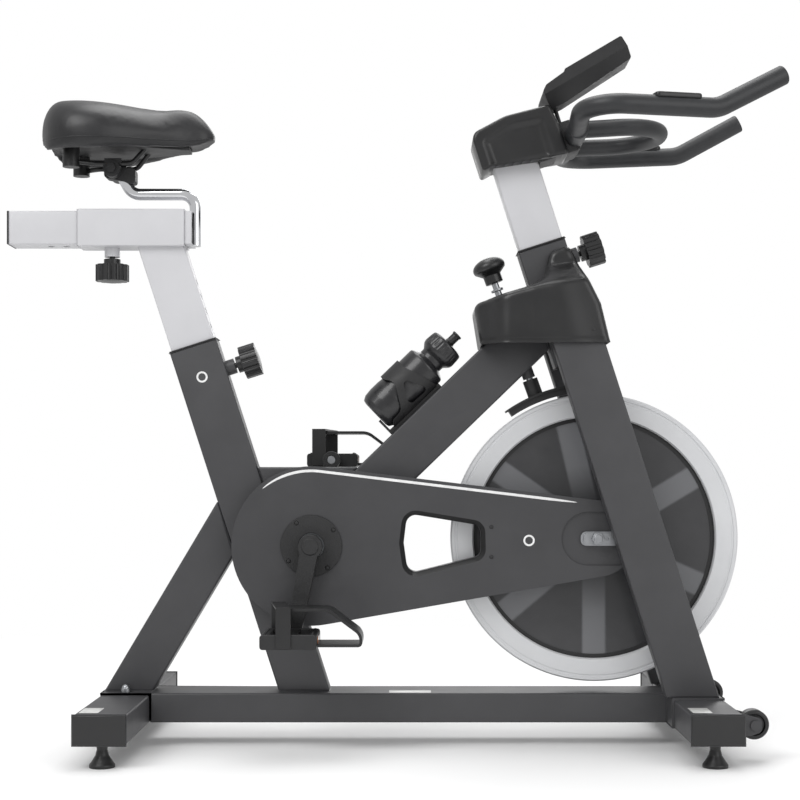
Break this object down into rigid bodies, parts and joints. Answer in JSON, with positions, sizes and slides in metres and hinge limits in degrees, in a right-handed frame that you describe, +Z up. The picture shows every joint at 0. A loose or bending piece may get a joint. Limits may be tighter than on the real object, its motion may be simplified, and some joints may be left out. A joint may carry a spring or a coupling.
{
  "type": "indoor cycling bike",
  "caption": "Upright indoor exercise bike: steel box-tube frame, large belt-driven flywheel, sliding and height-adjustable seat, coated handlebar with console, bottle in a cage.",
  "frame": {"origin": "on the floor, midway along and across the bike", "axes": "+X forward, +Y towards the rider's left, +Z up; the belt drive is on the -Y side"},
  "size_m": [1.0918, 0.46, 1.0085],
  "materials": {
    "frame_paint": "satin black powder coat",
    "silver_paint": "satin light silver powder coat",
    "cast_black": "rough black enamel on cast steel",
    "plated_steel": "zinc plated",
    "chromed": "polished chrome",
    "flywheel_steel": "turned and lacquered rim, dark disc",
    "pulley_metal": "as turned",
    "gloss_black": "glossy moulded black",
    "cover_black": "satin moulded black",
    "matte_black": "fine-textured moulded black",
    "grip_coat": "fine-grained soft coating",
    "rubber_black": "moulded rubber",
    "belt_rubber": "ribbed belt",
    "vinyl": "smooth black vinyl",
    "felt": "felt pad in a black holder",
    "bottle_black": "semi-gloss black bottle",
    "button_red": "satin red"
  },
  "bodies": {
    "frame": {"base_beam": "frame_paint", "stabilisers": "frame_paint", "stabiliser_caps": "matte_black", "frame_bolts": "plated_steel", "seat_tube": "frame_paint", "rear_strut": "frame_paint", "mid_tube": "frame_paint", "down_tube": "frame_paint", "head_tube": "frame_paint", "fork_legs": "frame_paint", "bottom_bracket": "frame_paint", "bearings": "plated_steel", "flywheel_axle": "plated_steel", "axle_brackets": "plated_steel", "belt_cover_outer": "cover_black", "belt_cover_inner": "cover_black", "crank_cover_plate": "cast_black", "drive_belt": "belt_rubber", "front_shroud": "cover_black", "post_sleeves": "matte_black", "bottle_cage": "matte_black"},
    "crank": {"crank_axle": "plated_steel", "drive_pulley": "pulley_metal", "crank_arms": "cast_black", "pedal_spindles": "plated_steel"},
    "right_pedal": {"pedal_right": "matte_black", "toe_clip_right": "matte_black"},
    "left_pedal": {"pedal_left": "matte_black", "toe_clip_left": "matte_black"},
    "wheel": {"flywheel": "flywheel_steel", "flywheel_pulley": "pulley_metal"},
    "post": {"seat_post": "silver_paint"},
    "carriage": {"seat_slider": "silver_paint", "slider_caps": "matte_black", "saddle_bar": "chromed", "saddle_clamp": "matte_black"},
    "saddle": {"rail_clamps": "matte_black", "saddle_rails": "cast_black", "saddle_base": "matte_black", "saddle_pad": "vinyl", "saddle_bumpers": "rubber_black"},
    "bars": {"handlebar_post": "silver_paint", "handlebar_cover": "cover_black", "handlebar": "grip_coat", "console_case": "matte_black"},
    "button": {"console_button": "button_red"},
    "seat_knob": {"seat_height_knob": "gloss_black"},
    "slide_knob": {"slider_knob": "gloss_black"},
    "bar_knob": {"handlebar_knob": "gloss_black"},
    "brake_stem": {"brake_rod": "plated_steel"},
    "tension_knob": {"brake_knob": "gloss_black"},
    "shoe": {"brake_shoe": "felt"},
    "foot_1": {"foot_rear_right": "rubber_black"},
    "foot_2": {"foot_rear_left": "rubber_black"},
    "foot_3": {"foot_front_right": "rubber_black"},
    "foot_4": {"foot_front_left": "rubber_black"},
    "roller_1": {"transport_wheel_right": "rubber_black"},
    "roller_2": {"transport_wheel_left": "rubber_black"},
    "flask": {"bottle": "bottle_black"},
    "nozzle": {"bottle_nozzle": "matte_black"}
  },
  "joints": [
    {"name": "flywheel_spin", "type": "hinge", "parent": "frame", "child": "wheel", "pos_m": [0.2975, 0, 0.2955], "axis": [0, 1, 0], "continuous": true},
    {"name": "crank_spin", "type": "hinge", "parent": "frame", "child": "crank", "pos_m": [-0.108, 0, 0.285], "axis": [0, 1, 0], "continuous": true},
    {"name": "right_pedal_spin", "type": "hinge", "parent": "crank", "child": "right_pedal", "pos_m": [-0.13099, 0, 0.16213], "axis": [0, 1, 0], "continuous": true},
    {"name": "left_pedal_spin", "type": "hinge", "parent": "crank", "child": "left_pedal", "pos_m": [-0.08501, 0, 0.40787], "axis": [0, 1, 0], "continuous": true},
    {"name": "seat_height", "type": "slide", "parent": "frame", "child": "post", "axis": [-0.3074, 0, 0.9516], "range_m": [-0.132, 0.066]},
    {"name": "seat_fore_aft", "type": "slide", "parent": "post", "child": "carriage", "axis": [1, 0, 0], "range_m": [0, 0.088]},
    {"name": "saddle_tilt", "type": "hinge", "parent": "carriage", "child": "saddle", "pos_m": [-0.3951, 0, 0.82444], "axis": [0, 1, 0], "range_deg": [-8, 8]},
    {"name": "handlebar_height", "type": "slide", "parent": "frame", "child": "bars", "axis": [-0.3057, 0, 0.9521], "range_m": [-0.066, 0.066]},
    {"name": "button_press", "type": "slide", "parent": "bars", "child": "button", "axis": [0.5075, 0, -0.8616], "range_m": [0, 0.001], "stiffness_N_per_m": 700, "springref_m": -0.001},
    {"name": "seat_pin_pull", "type": "slide", "parent": "frame", "child": "seat_knob", "axis": [0.9516, 0, 0.3074], "range_m": [0, 0.01], "stiffness_N_per_m": 900, "springref_m": -0.005},
    {"name": "slider_pin_pull", "type": "slide", "parent": "post", "child": "slide_knob", "axis": [0, 0, -1], "range_m": [0, 0.01], "stiffness_N_per_m": 900, "springref_m": -0.005},
    {"name": "handlebar_pin_pull", "type": "slide", "parent": "frame", "child": "bar_knob", "axis": [0.9521, 0, 0.3057], "range_m": [0, 0.01], "stiffness_N_per_m": 900, "springref_m": -0.005},
    {"name": "brake_push", "type": "slide", "parent": "frame", "child": "brake_stem", "axis": [0.342, 0, -0.9397], "range_m": [0, 0.0015], "stiffness_N_per_m": 9000, "springref_m": -0.002},
    {"name": "tension_turn", "type": "hinge", "parent": "brake_stem", "child": "tension_knob", "pos_m": [0.15, 0, 0.676], "axis": [-0.342, 0, 0.9397], "range_deg": [0, 360]},
    {"name": "shoe_feed", "type": "slide", "parent": "brake_stem", "child": "shoe", "axis": [0.342, 0, -0.9397], "range_m": [0, 0.0015]},
    {"name": "foot_rear_right_screw", "type": "slide", "parent": "frame", "child": "foot_1", "axis": [0, 0, -1], "range_m": [0, 0.015]},
    {"name": "foot_rear_left_screw", "type": "slide", "parent": "frame", "child": "foot_2", "axis": [0, 0, -1], "range_m": [0, 0.015]},
    {"name": "foot_front_right_screw", "type": "slide", "parent": "frame", "child": "foot_3", "axis": [0, 0, -1], "range_m": [0, 0.015]},
    {"name": "foot_front_left_screw", "type": "slide", "parent": "frame", "child": "foot_4", "axis": [0, 0, -1], "range_m": [0, 0.015]},
    {"name": "roller_right_spin", "type": "hinge", "parent": "frame", "child": "roller_1", "pos_m": [0.4948, -0.157, 0.05], "axis": [0, 1, 0], "continuous": true},
    {"name": "roller_left_spin", "type": "hinge", "parent": "frame", "child": "roller_2", "pos_m": [0.4948, 0.157, 0.05], "axis": [0, 1, 0], "continuous": true},
    {"name": "bottle_lift", "type": "slide", "parent": "frame", "child": "flask", "axis": [0.7183, 0, 0.6957], "range_m": [0, 0.018]},
    {"name": "nozzle_pull", "type": "slide", "parent": "flask", "child": "nozzle", "axis": [0.7183, 0, 0.6957], "range_m": [0, 0.006]}
  ],
  "couplings": [
    {"joint": "crank_spin", "follows": "flywheel_spin", "ratio": 0.28889},
    {"joint": "tension_turn", "follows": "shoe_feed", "rad_per_m": 4188.8}
  ]
}
